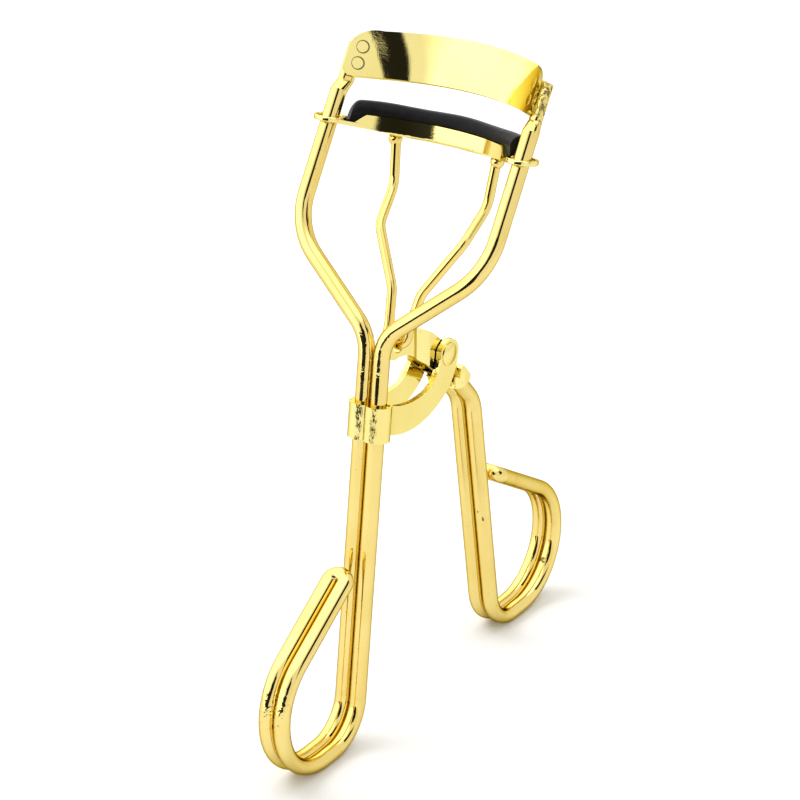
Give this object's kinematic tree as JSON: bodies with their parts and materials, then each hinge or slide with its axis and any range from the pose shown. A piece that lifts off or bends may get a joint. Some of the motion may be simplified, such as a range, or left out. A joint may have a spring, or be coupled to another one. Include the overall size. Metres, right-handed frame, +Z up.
{
  "type": "eyelash curler",
  "caption": "Wire-framed eyelash curler with two finger loops, a riveted squeeze lever and a sliding lower jaw whose soft pad closes on a curved upper plate.",
  "frame": {"origin": "centre of the bounding box at floor level, under the two finger loops", "axes": "+Z up from the loops to the jaws, +Y from the fixed handle to the lever handle, +X sideways along the rivet"},
  "size_m": [0.036, 0.076, 0.0972],
  "materials": {
    "gold_wire": "mirror gold-tone plating on drawn steel wire",
    "gold_sheet": "mirror gold-tone plating on pressed steel sheet",
    "gold_rivet": "mirror gold-tone plating on headed steel pins",
    "black_silicone": "matte black silicone rubber"
  },
  "bodies": {
    "frame": {"frame_wire": "gold_wire", "upper_jaw_plate": "gold_sheet", "jaw_pins": "gold_rivet", "pivot_bracket": "gold_sheet", "pivot_rivet": "gold_rivet"},
    "lever": {"lever_yoke": "gold_sheet", "rear_handle_wire": "gold_wire"},
    "lower_jaw": {"lower_jaw_channel": "gold_sheet", "silicone_pad": "black_silicone", "link_wire": "gold_wire"}
  },
  "joints": [
    {"name": "lever_pivot", "type": "hinge", "parent": "frame", "child": "lever", "pos_m": [0, 0.0034, 0.0534], "axis": [-1, 0, 0], "range_deg": [-10, 16]},
    {"name": "jaw_slide", "type": "slide", "parent": "frame", "child": "lower_jaw", "axis": [0, 0.5383, 0.8427], "range_m": [-0.0019, 0.00302]}
  ],
  "couplings": [
    {"joint": "jaw_slide", "follows": "lever_pivot", "m_per_rad": 0.01074}
  ]
}
